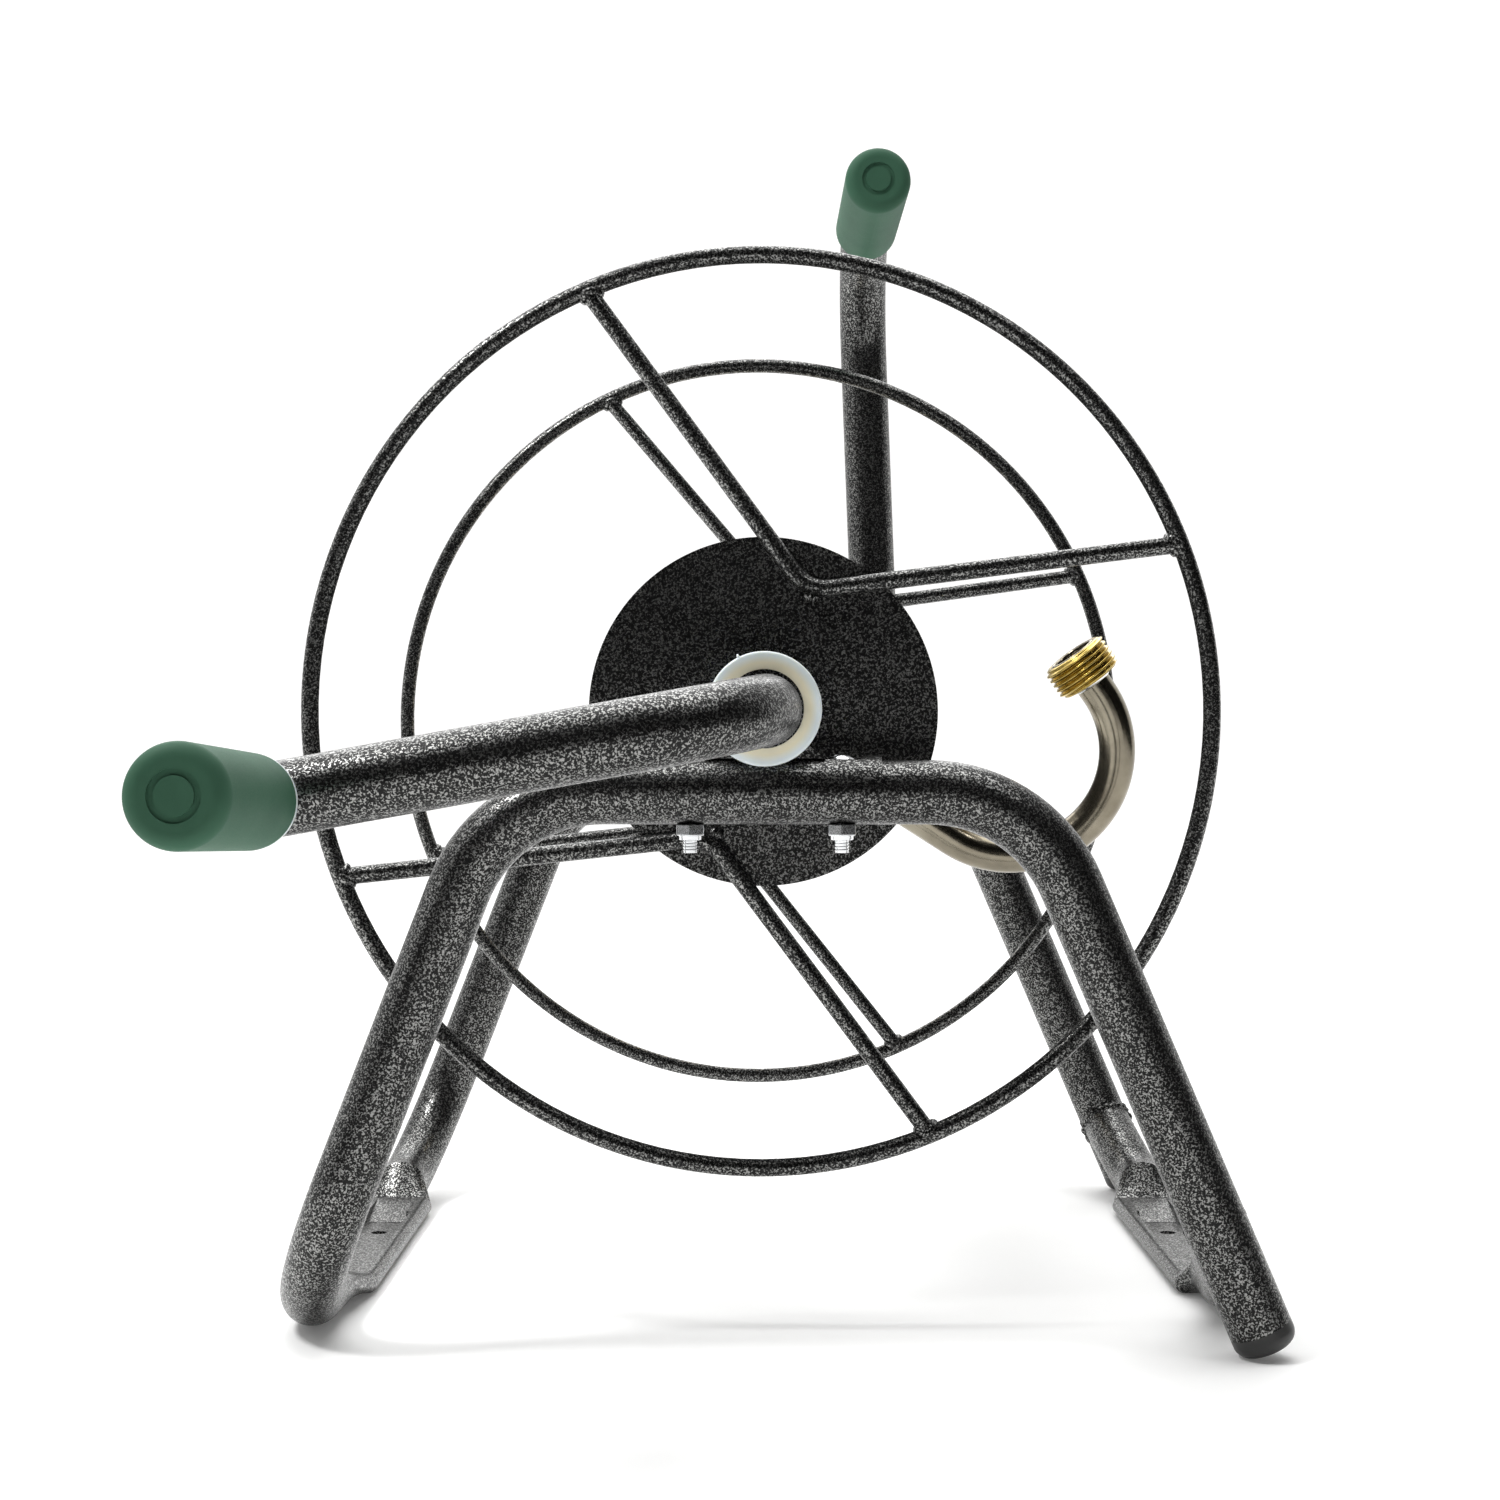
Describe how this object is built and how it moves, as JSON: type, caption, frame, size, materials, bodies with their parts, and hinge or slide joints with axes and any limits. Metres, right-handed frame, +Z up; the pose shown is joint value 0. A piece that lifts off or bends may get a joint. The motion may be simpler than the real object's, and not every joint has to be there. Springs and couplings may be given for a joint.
{
  "type": "hose reel",
  "caption": "Free-standing wire hose reel on a bent tube stand, with a crank, a carrying handle, a gooseneck hose outlet and an axle inlet swivel.",
  "frame": {"origin": "on the floor, midway between the two floor screw holes", "axes": "+Z up, +Y away from the crank along the axle, +X to the right seen from the crank side"},
  "size_m": [0.3684, 0.6204, 0.4669],
  "materials": {
    "hammertone": "charcoal hammertone powder coat",
    "black_plastic": "moulded",
    "nylon": "natural nylon, slightly translucent",
    "zinc": "bright zinc plate",
    "green_vinyl": "soft matt vinyl",
    "stainless": "brushed stainless tube",
    "brass": "machined brass",
    "black_rubber": "moulded rubber"
  },
  "bodies": {
    "frame": {"frame_tube": "hammertone", "right_rail": "hammertone", "foot_caps": "black_plastic", "front_housing": "hammertone", "rear_housing": "hammertone", "front_bush": "nylon", "rear_bush": "nylon", "housing_screws": "zinc", "housing_nuts": "zinc", "carry_handle_tube": "hammertone", "carry_grip": "green_vinyl", "post_plug": "black_plastic"},
    "reel": {"front_rim": "hammertone", "rear_rim": "hammertone", "front_v_rods": "hammertone", "rear_v_rods": "hammertone", "front_disc": "hammertone", "rear_disc": "hammertone", "drum": "hammertone", "drum_grommet": "black_rubber", "front_sleeve": "hammertone", "rear_sleeve": "hammertone", "front_collar": "hammertone", "rear_collar": "hammertone", "crank_tube": "hammertone", "crank_end_plug": "black_plastic", "crank_bolt": "zinc", "crank_nut": "zinc", "grip_bolt": "zinc", "grip_nut": "zinc", "outlet_pipe": "stainless", "outlet_fitting": "brass", "swivel_stem": "brass", "swivel_o_rings": "black_rubber", "swivel_clip": "stainless"},
    "crank_grip": {"grip_core": "nylon", "crank_grip": "green_vinyl"},
    "inlet_swivel": {"inlet_body": "brass", "swivel_cap": "brass", "hose_washer": "black_rubber"},
    "inlet_nut": {"inlet_nut": "brass"}
  },
  "joints": [
    {"name": "reel_spin", "type": "hinge", "parent": "frame", "child": "reel", "pos_m": [-0.00536, -0.04, 0.2236], "axis": [0, 1, 0], "continuous": true},
    {"name": "crank_grip_spin", "type": "hinge", "parent": "reel", "child": "crank_grip", "pos_m": [-0.15298, -0.334, 0.19414], "axis": [0.0166, 0.9992, -0.0373], "continuous": true},
    {"name": "inlet_swivel_turn", "type": "hinge", "parent": "frame", "child": "inlet_swivel", "pos_m": [-0.00536, 0.172, 0.2236], "axis": [0, 1, 0], "continuous": true},
    {"name": "inlet_nut_spin", "type": "hinge", "parent": "inlet_swivel", "child": "inlet_nut", "pos_m": [-0.00536, 0.172, 0.1836], "axis": [0, 0, 1], "continuous": true}
  ]
}
